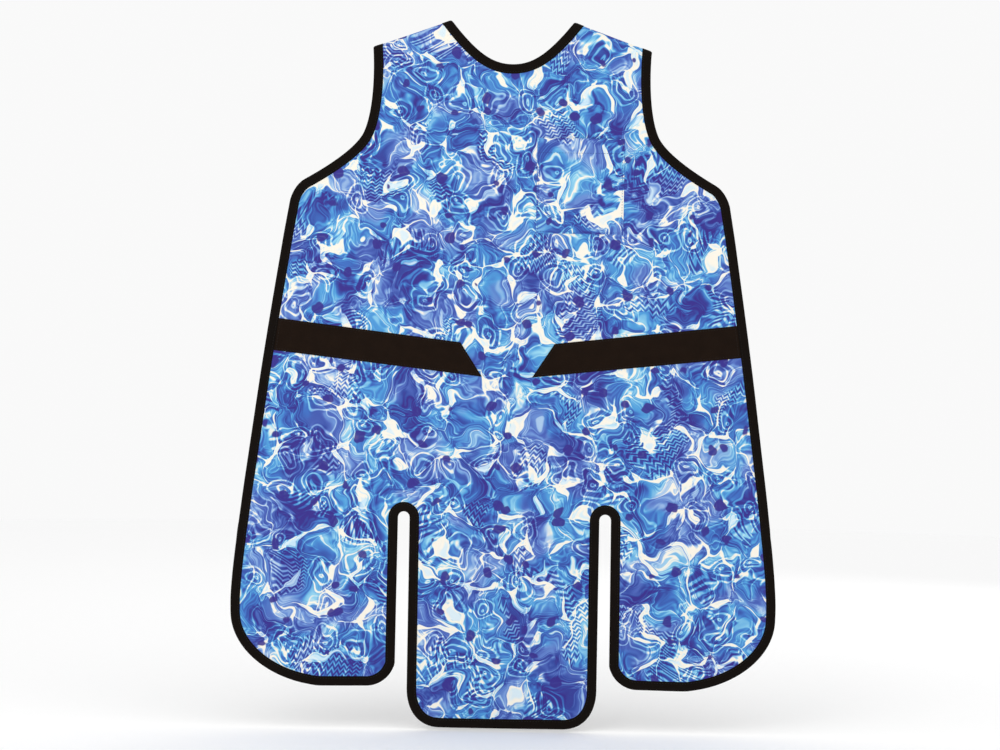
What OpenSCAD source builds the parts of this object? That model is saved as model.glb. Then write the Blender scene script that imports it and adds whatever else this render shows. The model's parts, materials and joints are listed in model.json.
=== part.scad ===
// Bib-style radiation apron with three hem tails and a crossed back harness.
// +Z is up, the printed front faces -Y, and the wearer's left side is at +X.
// The origin is midway between the two neck tips of the shoulder fold, in the
// middle of the panel's thickness. Everything hangs from that level.

/* [Overall] */
// Height from the shoulder fold to the hem of the centre tail
length = 1061; // [1050:1:1075]
// Half of the widest part, just above the side hems
half_w = 409; // [404:1:414]
// Half of the chest width at the wing corners under the arms
wing_half_w = 330; // [326:1:334]
// Drop from the shoulder fold to the wing corners
wing_drop = 273; // [268:1:278]

/* [Neck and shoulders] */
// Half of the distance between the two neck tips
neck_half_w = 92.3; // [90:0.1:95]
// Depth of the neckline
neck_depth = 64.5; // [60:0.5:68]
// Half of the distance between the shoulder tips
shoulder_half_w = 209; // [206:0.5:212]
// Drop from the neck tip to the shoulder tip
shoulder_drop = 42; // [38:0.5:46]
// Half of the width where the armhole starts to flare
armhole_half_w = 219; // [216:0.5:222]
// Drop from the neck tip to the start of the armhole flare
armhole_drop = 165; // [160:0.5:170]

/* [Tails] */
// Height from the shoulder fold to the hem of the side tails
side_length = 1002; // [995:1:1008]
// Clear width of each slot between two tails
slot_w = 17.4; // [15:0.2:20]
// Drop from the shoulder fold to the top of the slots
slot_drop = 738; // [730:1:745]
// Half of the width of the centre tail
tail_half_w = 142.4; // [138:0.2:146]
// Distance from the top of a slot down to the fold line of the tails
fold_below_slot = 30; // [28:1:40]
// Half of the clear gap that the solids leave at the fold line
fold_gap = 3.2; // [3:0.1:4]

/* [Layers] */
// Thickness of the printed cover and of the inside lining
cloth_t = 0.5; // [0.4:0.05:0.6]
// Thickness of each of the two shielding sheets
core_t = 1.2; // [1:0.05:1.4]
// Thickness of the binding tape
tape_t = 0.5; // [0.4:0.05:0.6]
// Visible width of the binding tape
tape_w = 14.5; // [12:0.5:18]
// Distance from the edge of the panel to the edge of the shielding
core_inset = 3; // [2:0.5:6]

/* [Pocket] */
// Width of the chest pocket
pocket_w = 131; // [110:1:140]
// Height of the chest pocket
pocket_h = 143; // [120:1:150]
// Drop from the shoulder fold to the pocket's mouth
pocket_drop = 174.5; // [170:0.5:190]
// Distance from the middle of the apron to the pocket's inner edge
pocket_x = 39.5; // [30:0.5:45]
// Height of the turned hem at the pocket's mouth
hem_h = 22; // [15:1:30]
// Thickness of the pocket's cloth with its turned hem
pocket_t = 0.7; // [0.6:0.05:0.8]

/* [Fastening strips] */
// Thickness of the loop strips on the front
strip_t = 1.0; // [0.8:0.1:1.2]
// Distance from the middle of the apron to the strips' pointed inner ends
strip_tip_x = 37.7; // [30:0.1:45]
// Drop from the shoulder fold to the pointed inner ends
strip_drop = 534; // [525:1:540]
// Height of a strip at its inner end
strip_h = 51; // [48:0.5:54]
// Slope of the strips, rising towards the sides, in degrees
strip_slope = 6.3; // [5:0.1:7]

/* [Harness] */
// Thickness of the padding in the back straps
pad_t = 2.0; // [1.6:0.1:2.4]
// Clearance between layers that only lie on each other
air = 0.4; // [0.4:0.05:0.6]
// Distance from the middle to the hip end of a strap
hip_x = 338; // [334:0.5:340]
// Drop from the shoulder fold to the middle of the hip end
hip_drop = 478; // [470:1:486]
// Length of the seam at the hip end of a strap
hip_seam = 80; // [72:1:84]
// Width of the patch that joins the crossed straps
cross_patch_w = 60; // [50:1:70]

/* [Belt ends] */
// Length of a belt end from its hip seam to its tip
belt_l = 250; // [220:1:270]
// Width of the belt webbing
belt_w = 50; // [46:1:54]
// Thickness of the belt webbing
belt_t = 1.8; // [1.6:0.1:2]
// Length of the hook patch on a belt end
hook_l = 150; // [120:1:180]
// Thickness of the hook patch
hook_t = 1.0; // [0.8:0.1:1.2]

/* [Hidden] */
cloth_blue = [0.27, 0.47, 0.78];
lining_black = [0.10, 0.10, 0.12];
tape_black = [0.07, 0.05, 0.04];
strip_black = [0.12, 0.09, 0.07];
core_grey = [0.34, 0.36, 0.38];
foam_grey = [0.55, 0.55, 0.56];

reach = 700;                           // longer than any half of the apron
seam = 0.1 + tape_t;                   // the layers stop this far inside the tape
y_core = core_t;                       // outer faces of the two shielding sheets
y_cloth = y_core + cloth_t;            // outer face of the cover and of the lining
y_tape = y_cloth + tape_t;             // outer face of the binding tape
fold_z = -(slot_drop + fold_below_slot);
slot_x = tail_half_w + slot_w / 2;
shoulder = [shoulder_half_w, -shoulder_drop];
neck_tip = [neck_half_w, 0];
tape_rise = 60;                        // how far the tape's own outline runs on past the fold
neck_dir = [0.62, 0.78];               // way the neckline leaves the neck tip
arm_dir = [0.07, 1];                   // way the armhole leaves the shoulder tip
strap_t = pad_t + 2 * cloth_t + 2 * tape_t;
y_right_strap = y_tape + air;
y_left_strap = y_right_strap + strap_t + air;
hip_lean = hip_seam / 16;              // how far the hip seam leans out from its middle to its end
hip_top = [-hip_x + hip_lean, -hip_drop + hip_seam / 2];
hip_bottom = [-hip_x - hip_lean, -hip_drop - hip_seam / 2];
hip_gap = 0.5;                         // each piece stops this far from the hip's fold line

// ---- curves -------------------------------------------------------------

// Cubic curve from a to d, without its last point, so that curves can be chained
function curve(a, b, c, d, n = 10) =
    [for (i = [0 : n - 1]) let (t = i / n, u = 1 - t)
        u * u * u * a + 3 * u * u * t * b + 3 * u * t * t * c + t * t * t * d];

// Half circle over a slot, from the side tail's edge to the centre tail's edge
function slot_arch(n = 12) =
    [for (i = [0 : n]) let (a = 180 * i / n)
        [slot_x + slot_w / 2 * cos(a), -slot_drop - slot_w / 2 + slot_w / 2 * sin(a)]];

// Right half of the outline as drawn, from the neckline's middle to the hem's
// middle. rise lifts the shoulder fold, so that the tape runs off both its ends.
function half_outline(rise) = let (
        arm = [armhole_half_w, -armhole_drop],
        wing = [wing_half_w - 21, -wing_drop + 31],
        side = [wing_half_w, -wing_drop],
        low = [half_w - 10, -757.5],
        corner = [half_w, -side_length + 111],
        hem = [half_w - 154, -side_length],
        inner = [slot_x + slot_w / 2, -side_length + 47])
    concat(
        curve([0, -neck_depth], [32, -neck_depth], neck_tip - [37, 46], neck_tip),
        [neck_tip + rise * neck_dir, shoulder + rise * arm_dir],
        rise > 0 ? [shoulder] : [],
        curve(shoulder, shoulder + [-3, -43], arm + [-11, 30], arm),
        curve(arm, arm + [6, -20], wing + [-54, 31], wing),
        curve(wing, wing + [8, -4.5], side + [-4, 15], side, 6),
        curve(side, side + [20, -112], low + [-13, 112], low, 12),
        curve(low, low + [5, -43], corner + [2, 31], corner, 5),
        curve(corner, corner + [0, -61], hem + [85, 0], hem, 14),
        curve(hem + [-52, 1.5], hem + [-72, 1.5], inner + [0, -29], inner, 8),
        slot_arch(),
        curve([tail_half_w, -length + 58], [tail_half_w, -length + 26],
              [tail_half_w - 17, -length], [tail_half_w - 50, -length], 8),
        [[tail_half_w - 50, -length]]);

function whole_outline(rise) = let (half = half_outline(rise))
    concat(half, [for (i = [len(half) - 1 : -1 : 1]) [-half[i][0], half[i][1]]]);

// Two long edges of the strap that starts on the left shoulder and ends on the right hip
function strap_inner_edge() = concat(
    curve(neck_tip + [1.2, -1.5], neck_tip + [-26, -54], [10, -122], [-60, -192], 12),
    curve([-60, -192], [-130, -262], hip_top + [84, 76], hip_top, 12), [hip_top]);
function strap_outer_edge() = concat(
    curve(shoulder + [-1, -1], shoulder + [-19, -51], [84, -187], [5, -257], 12),
    curve([5, -257], [-74, -327], hip_bottom + [107, 46], hip_bottom, 12), [hip_bottom]);

// ---- flat shapes, drawn with X across and Z up -----------------------------

module panel_shape() {
    polygon(whole_outline(0));
}

// The panel less a margin along every taped edge, but none at the shoulder fold
module inside_tape(margin) {
    intersection() {
        panel_shape();
        offset(delta = -margin) polygon(whole_outline(tape_rise));
    }
}

module core_shape() {
    offset(delta = -core_inset) panel_shape();
}

module tape_shape() {
    difference() {
        panel_shape();
        offset(delta = -tape_w) polygon(whole_outline(tape_rise));
    }
}

// Everything above the fold line of the tails
module torso_zone() {
    translate([-reach, fold_z + fold_gap]) square([2 * reach, 2 * reach]);
}

// Everything below it that belongs to one tail: -1 right, 0 centre, 1 left
module tail_zone(place) {
    lo = place == 0 ? -slot_x : place > 0 ? slot_x : -reach;
    hi = place == 0 ? slot_x : place > 0 ? reach : -slot_x;
    translate([lo, fold_z - fold_gap - reach]) square([hi - lo, reach]);
}

module left_or_right(side) {
    scale_x = side > 0 ? 0 : 1;
    mirror([scale_x, 0]) children();
}

// Flat strap less a margin that is taken along its two long edges only
module strap_shape(margin) {
    inner = strap_inner_edge();
    outer = strap_outer_edge();
    back = [for (i = [len(outer) - 1 : -1 : 0]) outer[i]];
    past_fold = [60, 110];
    past_hip = [-60, -12];
    intersection() {
        polygon(concat(inner, back));
        offset(delta = -margin)
            polygon(concat([inner[0] + past_fold], inner, [hip_top + past_hip, hip_bottom + past_hip],
                           back, [outer[0] + past_fold]));
        hip_side();
    }
}

// Half plane on the strap's side of its hip seam, less the gap at the fold line
module hip_side() {
    translate([-hip_x, -hip_drop]) rotate(-atan(2 * hip_lean / hip_seam))
        translate([hip_gap, -reach]) square([2 * reach, 2 * reach]);
}

// A belt end folded in over its hip, from the right hip seam towards the middle
module belt_shape(from, to, width) {
    cut = 34;
    intersection() {
        translate([-hip_x, -hip_drop]) rotate(-strip_slope)
            polygon([[from, width / 2], [to - cut, width / 2], [to, -width / 2], [from, -width / 2]]);
        hip_side();
    }
}

// Flat shape to an upright slab between two depths
module slab(y_front, y_back) {
    translate([0, y_back, 0]) rotate([90, 0, 0])
        linear_extrude(y_back - y_front) children();
}

// ---- panel and tails: the zone to keep is given as a child ------------------

module cover_layer() {
    color(cloth_blue) slab(-y_cloth, -y_core)
        intersection() { inside_tape(seam); children(); }
}

module outer_core_layer() {
    color(core_grey) slab(-y_core, 0)
        intersection() { core_shape(); children(); }
}

module inner_core_layer() {
    color(core_grey) slab(0, y_core)
        intersection() { core_shape(); children(); }
}

module lining_layer() {
    color(lining_black) slab(y_core, y_cloth)
        intersection() { inside_tape(seam); children(); }
}

// Folded tape with a C section that closes over the edge of all the layers
module tape_run() {
    color(tape_black) difference() {
        slab(-y_tape, y_tape) intersection() { tape_shape(); children(); }
        slab(-y_cloth, y_cloth) inside_tape(seam);
    }
}

module front_cover() { cover_layer() torso_zone(); }
module core_outer() { outer_core_layer() torso_zone(); }
module core_inner() { inner_core_layer() torso_zone(); }
module back_lining() { lining_layer() torso_zone(); }

module neck_binding() {
    tape_run() translate([-neck_half_w - 30, -neck_depth - 30]) square([2 * neck_half_w + 60, 200]);
}

// The armhole's run of tape ends at a mitre across the wing corner
module armhole_binding(side) {
    tape_run() left_or_right(side)
        polygon([[shoulder_half_w - 40, 20], [shoulder_half_w + 60, 20],
                 [wing_half_w + 30, -wing_drop + 58], [wing_half_w - 30, -wing_drop - 7],
                 [shoulder_half_w - 40, -wing_drop]]);
}

module side_binding(side) {
    tape_run() intersection() {
        torso_zone();
        left_or_right(side)
            polygon([[wing_half_w + 30, -wing_drop + 58], [reach, -wing_drop + 58], [reach, -reach * 2],
                     [slot_x + slot_w / 2 + tape_w + 10, -reach * 2], [wing_half_w - 30, -wing_drop - 7]]);
    }
}

module slot_binding(side) {
    tape_run() intersection() {
        torso_zone();
        left_or_right(side) translate([slot_x - slot_w / 2 - tape_w - 5, -slot_drop - 100])
            square([slot_w + 2 * tape_w + 10, 100 + tape_w + 5]);
    }
}

module left_armhole_binding() { armhole_binding(1); }
module right_armhole_binding() { armhole_binding(-1); }
module left_side_binding() { side_binding(1); }
module right_side_binding() { side_binding(-1); }
module left_slot_binding() { slot_binding(1); }
module right_slot_binding() { slot_binding(-1); }

module left_tail_cover() { cover_layer() tail_zone(1); }
module left_tail_core_outer() { outer_core_layer() tail_zone(1); }
module left_tail_core_inner() { inner_core_layer() tail_zone(1); }
module left_tail_lining() { lining_layer() tail_zone(1); }
module left_tail_binding() { tape_run() tail_zone(1); }

module centre_tail_cover() { cover_layer() tail_zone(0); }
module centre_tail_core_outer() { outer_core_layer() tail_zone(0); }
module centre_tail_core_inner() { inner_core_layer() tail_zone(0); }
module centre_tail_lining() { lining_layer() tail_zone(0); }
module centre_tail_binding() { tape_run() tail_zone(0); }

module right_tail_cover() { cover_layer() tail_zone(-1); }
module right_tail_core_outer() { outer_core_layer() tail_zone(-1); }
module right_tail_core_inner() { inner_core_layer() tail_zone(-1); }
module right_tail_lining() { lining_layer() tail_zone(-1); }
module right_tail_binding() { tape_run() tail_zone(-1); }

// ---- pocket and front strips ------------------------------------------------

module pocket_rect(height) {
    translate([pocket_x, -pocket_drop - height]) square([pocket_w, height]);
}

// Pocket patch, stepped behind its mouth for the turned hem
module pocket_panel() {
    color(cloth_blue) difference() {
        slab(-y_cloth - pocket_t, -y_cloth) pocket_rect(pocket_h);
        slab(-y_cloth - pocket_t / 2, -y_cloth + 1) translate([0, 1]) pocket_rect(hem_h + 1);
    }
}

module pocket_hem() {
    color(cloth_blue) slab(-y_cloth - pocket_t / 2, -y_cloth) pocket_rect(hem_h);
}

// Loop strip from the side binding to its pointed inner end
module loop_strip(side) {
    rise = (reach - strip_tip_x) * tan(strip_slope);
    point_lean = 33;
    color(strip_black) slab(-y_cloth - strip_t, -y_cloth) intersection() {
        inside_tape(tape_w);
        left_or_right(side)
            polygon([[strip_tip_x, -strip_drop], [reach, -strip_drop + rise],
                     [reach, -strip_drop + strip_h + rise],
                     [strip_tip_x + point_lean, -strip_drop + strip_h]]);
    }
}

module left_loop_strip() { loop_strip(1); }
module right_loop_strip() { loop_strip(-1); }

// ---- harness: the shape runs from the left shoulder, and is mirrored for the right

// Depth of a strap's first face and the side that it starts from
module strap_layer(side, y0, from, to, margin) {
    left_or_right(side) slab(y0 + from, y0 + to) strap_shape(margin);
}

module strap_cover(side, y0) {
    color(cloth_blue)
        strap_layer(side, y0, strap_t - tape_t - cloth_t, strap_t - tape_t, seam);
}

module strap_padding(side, y0) {
    color(foam_grey) strap_layer(side, y0, tape_t + cloth_t, tape_t + cloth_t + pad_t, seam);
}

module strap_lining(side, y0) {
    color(lining_black) strap_layer(side, y0, tape_t, tape_t + cloth_t, seam);
}

module strap_binding(side, y0) {
    color(tape_black) left_or_right(side) difference() {
        slab(y0, y0 + strap_t) difference() { strap_shape(0); strap_shape(tape_w); }
        slab(y0 + tape_t, y0 + strap_t - tape_t) strap_shape(seam);
    }
}

module left_strap_cover() { strap_cover(1, y_left_strap); }
module left_strap_padding() { strap_padding(1, y_left_strap); }
module left_strap_lining() { strap_lining(1, y_left_strap); }
module left_strap_binding() { strap_binding(1, y_left_strap); }
module right_strap_cover() { strap_cover(-1, y_right_strap); }
module right_strap_padding() { strap_padding(-1, y_right_strap); }
module right_strap_lining() { strap_lining(-1, y_right_strap); }
module right_strap_binding() { strap_binding(-1, y_right_strap); }

// Sewn patch between the two straps, where they cross behind the chest
module strap_cross_patch() {
    color(tape_black) slab(y_right_strap + strap_t, y_left_strap)
        translate([0, -190]) rotate(45) square(cross_patch_w, center = true);
}

// ---- belt ends ----------------------------------------------------------------

module belt_web(side, y0) {
    color(strip_black) left_or_right(-side) slab(y0, y0 + belt_t) belt_shape(0, belt_l, belt_w);
}

module belt_hook(side, y0) {
    color(tape_black) left_or_right(-side) slab(y0 + belt_t, y0 + belt_t + hook_t)
        belt_shape(belt_l - hook_l - 8, belt_l - 8, belt_w - 6);
}

module left_belt_web() { belt_web(1, y_right_strap + strap_t + air); }
module left_belt_hook() { belt_hook(1, y_right_strap + strap_t + air); }
module right_belt_web() { belt_web(-1, y_left_strap + strap_t + air); }
module right_belt_hook() { belt_hook(-1, y_left_strap + strap_t + air); }

front_cover();
core_outer();
core_inner();
back_lining();
neck_binding();
left_armhole_binding();
right_armhole_binding();
left_side_binding();
right_side_binding();
left_slot_binding();
right_slot_binding();
pocket_panel();
pocket_hem();
left_loop_strip();
right_loop_strip();
left_tail_cover();
left_tail_core_outer();
left_tail_core_inner();
left_tail_lining();
left_tail_binding();
centre_tail_cover();
centre_tail_core_outer();
centre_tail_core_inner();
centre_tail_lining();
centre_tail_binding();
right_tail_cover();
right_tail_core_outer();
right_tail_core_inner();
right_tail_lining();
right_tail_binding();
left_strap_cover();
left_strap_padding();
left_strap_lining();
left_strap_binding();
right_strap_cover();
right_strap_padding();
right_strap_lining();
right_strap_binding();
strap_cross_patch();
left_belt_web();
left_belt_hook();
right_belt_web();
right_belt_hook();
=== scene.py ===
"""Dresses the hanging radiation apron: printed cloth, shielding, tape, pocket, straps and stitching."""

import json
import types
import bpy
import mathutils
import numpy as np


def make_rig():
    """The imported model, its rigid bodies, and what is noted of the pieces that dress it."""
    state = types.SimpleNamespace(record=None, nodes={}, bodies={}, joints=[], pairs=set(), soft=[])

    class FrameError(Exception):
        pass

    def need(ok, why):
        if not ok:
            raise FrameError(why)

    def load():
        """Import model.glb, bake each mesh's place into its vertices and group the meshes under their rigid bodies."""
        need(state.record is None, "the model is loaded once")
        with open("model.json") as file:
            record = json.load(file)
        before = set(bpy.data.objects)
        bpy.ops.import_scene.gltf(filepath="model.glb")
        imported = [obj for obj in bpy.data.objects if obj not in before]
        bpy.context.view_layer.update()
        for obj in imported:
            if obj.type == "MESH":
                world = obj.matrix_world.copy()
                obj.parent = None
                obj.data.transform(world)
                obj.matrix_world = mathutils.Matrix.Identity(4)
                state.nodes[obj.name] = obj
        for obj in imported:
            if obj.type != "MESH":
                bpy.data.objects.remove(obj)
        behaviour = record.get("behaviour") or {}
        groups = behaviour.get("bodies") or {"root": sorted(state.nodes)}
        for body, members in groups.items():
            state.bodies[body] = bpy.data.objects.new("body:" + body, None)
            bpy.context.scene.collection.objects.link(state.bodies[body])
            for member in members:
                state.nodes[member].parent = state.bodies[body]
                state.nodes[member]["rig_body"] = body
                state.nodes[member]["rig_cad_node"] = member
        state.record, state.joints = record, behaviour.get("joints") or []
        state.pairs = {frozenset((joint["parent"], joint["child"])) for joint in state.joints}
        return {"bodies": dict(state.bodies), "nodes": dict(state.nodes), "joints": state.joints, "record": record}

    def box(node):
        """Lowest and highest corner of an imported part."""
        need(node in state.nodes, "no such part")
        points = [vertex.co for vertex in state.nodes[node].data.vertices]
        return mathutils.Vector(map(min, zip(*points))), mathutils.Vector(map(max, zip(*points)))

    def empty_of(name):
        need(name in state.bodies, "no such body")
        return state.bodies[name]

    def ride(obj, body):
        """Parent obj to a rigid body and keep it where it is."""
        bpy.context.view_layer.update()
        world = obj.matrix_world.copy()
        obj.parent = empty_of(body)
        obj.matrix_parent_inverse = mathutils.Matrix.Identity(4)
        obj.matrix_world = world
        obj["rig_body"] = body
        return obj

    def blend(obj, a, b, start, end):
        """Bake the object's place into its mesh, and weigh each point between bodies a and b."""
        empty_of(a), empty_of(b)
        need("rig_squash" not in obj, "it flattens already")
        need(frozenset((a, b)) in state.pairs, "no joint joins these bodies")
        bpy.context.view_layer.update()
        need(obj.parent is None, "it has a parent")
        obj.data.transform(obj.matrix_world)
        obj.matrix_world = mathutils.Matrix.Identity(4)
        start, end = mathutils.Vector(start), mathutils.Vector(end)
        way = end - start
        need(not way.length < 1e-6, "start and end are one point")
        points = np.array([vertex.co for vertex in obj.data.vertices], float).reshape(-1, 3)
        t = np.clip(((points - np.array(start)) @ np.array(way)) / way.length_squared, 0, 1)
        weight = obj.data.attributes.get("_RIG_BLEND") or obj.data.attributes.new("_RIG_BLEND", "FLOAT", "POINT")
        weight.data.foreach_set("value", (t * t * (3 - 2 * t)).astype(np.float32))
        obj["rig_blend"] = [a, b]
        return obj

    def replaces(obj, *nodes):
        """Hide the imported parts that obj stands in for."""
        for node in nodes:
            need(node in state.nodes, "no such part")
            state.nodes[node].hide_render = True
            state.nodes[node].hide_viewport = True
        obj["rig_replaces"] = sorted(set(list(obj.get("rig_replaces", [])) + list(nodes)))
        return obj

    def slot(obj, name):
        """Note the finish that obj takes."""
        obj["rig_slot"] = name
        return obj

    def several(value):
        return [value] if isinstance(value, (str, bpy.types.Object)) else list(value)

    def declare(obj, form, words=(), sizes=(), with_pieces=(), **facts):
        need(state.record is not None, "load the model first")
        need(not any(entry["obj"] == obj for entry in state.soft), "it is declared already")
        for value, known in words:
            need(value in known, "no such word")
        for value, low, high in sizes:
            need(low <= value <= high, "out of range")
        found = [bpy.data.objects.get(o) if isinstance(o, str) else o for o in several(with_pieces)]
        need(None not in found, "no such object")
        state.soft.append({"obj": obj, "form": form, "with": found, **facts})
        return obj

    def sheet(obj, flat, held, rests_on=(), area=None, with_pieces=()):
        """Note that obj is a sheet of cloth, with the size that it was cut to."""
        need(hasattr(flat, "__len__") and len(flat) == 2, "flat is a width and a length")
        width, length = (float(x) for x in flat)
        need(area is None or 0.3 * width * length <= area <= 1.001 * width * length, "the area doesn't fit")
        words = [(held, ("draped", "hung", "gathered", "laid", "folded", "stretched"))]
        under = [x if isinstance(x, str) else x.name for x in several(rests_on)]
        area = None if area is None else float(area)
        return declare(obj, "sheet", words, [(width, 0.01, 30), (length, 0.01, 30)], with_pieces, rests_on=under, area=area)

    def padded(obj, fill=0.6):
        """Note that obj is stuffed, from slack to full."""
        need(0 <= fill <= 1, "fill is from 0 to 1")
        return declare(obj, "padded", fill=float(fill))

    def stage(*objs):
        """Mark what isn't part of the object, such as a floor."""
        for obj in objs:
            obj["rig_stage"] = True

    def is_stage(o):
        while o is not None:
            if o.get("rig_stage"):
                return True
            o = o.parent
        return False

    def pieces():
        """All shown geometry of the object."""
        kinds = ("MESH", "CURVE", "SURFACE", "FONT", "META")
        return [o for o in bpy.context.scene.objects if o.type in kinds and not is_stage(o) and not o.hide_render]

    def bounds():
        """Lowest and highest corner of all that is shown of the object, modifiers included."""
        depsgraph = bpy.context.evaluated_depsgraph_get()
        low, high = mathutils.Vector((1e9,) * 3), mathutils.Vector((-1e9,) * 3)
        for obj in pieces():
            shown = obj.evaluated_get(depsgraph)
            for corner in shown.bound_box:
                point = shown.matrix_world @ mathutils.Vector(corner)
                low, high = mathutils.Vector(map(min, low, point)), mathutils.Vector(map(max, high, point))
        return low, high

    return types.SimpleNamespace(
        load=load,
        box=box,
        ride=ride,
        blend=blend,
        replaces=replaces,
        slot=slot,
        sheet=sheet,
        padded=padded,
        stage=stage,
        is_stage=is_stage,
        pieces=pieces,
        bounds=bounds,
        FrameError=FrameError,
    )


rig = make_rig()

bl_info = {
    "name": "Radiation Apron",
    "version": (1, 0, 0),
    "blender": (4, 5, 0),
    "location": "View3D > Sidebar > Apron",
    "description": "Dresses a hanging radiation apron with cloth, tape, straps and stitching",
    "category": "Add Mesh",
}

import json
import math

import bmesh
import bpy
from bpy.props import FloatProperty, FloatVectorProperty, IntProperty, PointerProperty
from mathutils import Matrix, Vector, geometry, noise

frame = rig.load()
CAD_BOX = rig.bounds()

SIDES = {"left": 1, "right": -1}
TAILS = ("left_tail", "centre_tail", "right_tail")
PLACE = "place"  # where on its own cloth or tape a point was cut, in metres
SIZE_FILE = "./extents.json"
UP = Vector((0, 0, 1))
SHARP = math.radians(50)
MM = 0.001
IN_CM, IN_MM = 100, 1000  # what a place in metres is scaled by, to read it in centimetres or millimetres
WELD = 1e-5  # corners nearer than this are one corner


def farthest(node, toward):
    """The corner of a CAD node that lies farthest along a direction."""
    return max((v.co for v in frame["nodes"][node].data.vertices), key=Vector(toward).dot).copy()


JOINTS = {joint["name"]: joint for joint in frame["joints"]}
LENGTH = -CAD_BOX[0].z
FOLD_Z = JOINTS["centre_tail_fold"]["pos_m"][2]
FOLD_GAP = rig.box("front_cover")[0].z - FOLD_Z
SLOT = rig.box("left_slot_binding")
SLOT_X = (SLOT[0].x + SLOT[1].x) / 2
TAPE_WIDTH = 0.0145
SLOT_TOP = SLOT[1].z - TAPE_WIDTH
FOLD_REACH = SLOT_TOP - FOLD_Z  # how far above and below the fold line a tail bends
TAPE_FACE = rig.box("neck_binding")[1].y
TAPE_CLOTH = 0.3 * MM
UNDER_TAPE = 2.5 * MM  # how much further the cloth stops from the outside of the tape
CLOTH_FACE = -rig.box("front_cover")[0].y
NECK_TIP = farthest("neck_binding", (0.2, 0, 1))
SHOULDER_TIP = farthest("left_armhole_binding", (1, 0, 2))
WING = farthest("left_armhole_binding", (1, 0, 0))
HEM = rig.box("left_tail_binding")[1]
HIP = Vector(JOINTS["left_belt_open"]["pos_m"])
HIP_WAY = -Vector(JOINTS["left_belt_open"]["axis"])

# how much of its CAD solid's depth a piece fills, so that neighbours stay apart
LAYER_FILL, STRAP_FILL, PATCH_FILL, BELT_FILL = 0.86, 0.9, 0.8, 0.94
FRONT_GRID = 0.008  # spacing of the mesh of the pocket and the loop strips
BACK_GRID = 0.010  # spacing of the mesh of the join patch and the belts
SHIELD_SPARE = 0.002  # how much lower than the cloth the shielding stops at the shoulders
OVERRUN = 0.012  # how far tape is run on past its ends before it is trimmed
STRAP_BEND = 0.11  # how much of a strap bends when the harness lifts
POCKET_CUT = (0.21, 0.137)  # where on the printed cloth the pocket was cut
STRAP_CUT = (0.31, -0.19)  # where on the printed cloth the left strap was cut
STRIP_SEAM = 3.0 * MM  # how far inside the edge of a strip its stitching runs


# ---- sizes and colours a user would change ---------------------------------


def length_of(name, default, description):
    return FloatProperty(name=name, default=default, unit="LENGTH", description=description)


def colour_of(name, default, description):
    return FloatVectorProperty(
        name=name, default=default, size=3, subtype="COLOR", min=0, max=1, description=description
    )


class ApronCloth(bpy.types.PropertyGroup):
    grid: length_of("Grid", 0.010, "Spacing of the cloth's mesh")
    strap_grid: length_of("Strap Grid", 0.006, "Spacing of the straps' mesh")
    fold_rows: IntProperty(name="Fold Rows", default=12, description="Rows of the mesh through a tail's fold")
    fold_depth: length_of("Fold Depth", 0.0035, "Depth of the slow folds at the hem")
    curl: length_of("Curl", 0.0035, "How far the side edges curl back")
    rumple: length_of("Rumple", 0.0012, "Depth of the small uneven waves")
    pouch: length_of("Pouch", 0.0022, "How far the pocket's mouth stands open")


class ApronTape(bpy.types.PropertyGroup):
    width: length_of("Width", TAPE_WIDTH, "Visible width of the folded binding tape")
    seam: length_of("Seam", 0.0006, "Distance from the cloth's edge to the outside of the tape")
    step: length_of("Step", 0.005, "Spacing of the tape's mesh along its run")
    stitch_pitch: length_of("Stitch Pitch", 0.0042, "Distance between two stitches")
    stitch_length: length_of("Stitch Length", 0.0031, "Length of one stitch")
    stitch_radius: length_of("Thread Radius", 0.00032, "Radius of the sewing thread")


class ApronPrint(bpy.types.PropertyGroup):
    deep: colour_of("Deep Blue", (0.0296, 0.0648, 0.351), "Darkest water")
    cobalt: colour_of("Cobalt", (0.045, 0.162, 0.540), "Main water")
    azure: colour_of("Azure", (0.078, 0.345, 0.700), "Lighter water")
    cyan: colour_of("Cyan", (0.310, 0.665, 0.850), "Shallow water")
    indigo: colour_of("Indigo", (0.070, 0.130, 0.480), "Main water in the warmer stretches")
    iris: colour_of("Iris", (0.150, 0.290, 0.660), "Lighter water in the warmer stretches")
    mist: colour_of("Mist", (0.420, 0.600, 0.820), "Shallow water in the warmer stretches")
    ice: colour_of("Ice", (0.650, 0.830, 0.930), "Middle of the wide glints")
    cream: colour_of("Cream", (0.956, 0.896, 0.776), "Glints")
    violet: colour_of("Violet", (0.034, 0.022, 0.250), "Round dark drops")


class ApronStage(bpy.types.PropertyGroup):
    view_width: length_of("View Width", 1.5, "Width of the view at the apron")
    view_x: length_of("View X", -0.0105, "Sideways place of the middle of the view")
    view_z: length_of("View Z", -0.531, "Height of the middle of the view")
    roll: FloatProperty(
        name="Roll", default=math.radians(-1.0), subtype="ANGLE", description="Tilt of the camera"
    )
    daylight: FloatProperty(name="Daylight", default=0.95, description="Strength of the white surround")
    floor: length_of("Floor", 5.0, "Radius of the pale floor")
    lamp: FloatProperty(name="Lamp", default=9.0, description="Power of the soft lamp in front, in watts")


SETTINGS = {
    "apron_cloth": ApronCloth,
    "apron_tape": ApronTape,
    "apron_print": ApronPrint,
    "apron_stage": ApronStage,
}


def chosen(name):
    """The scene's own copy of a group of settings."""
    return getattr(bpy.context.scene, name)


# ---- shader writing ---------------------------------------------------------


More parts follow.
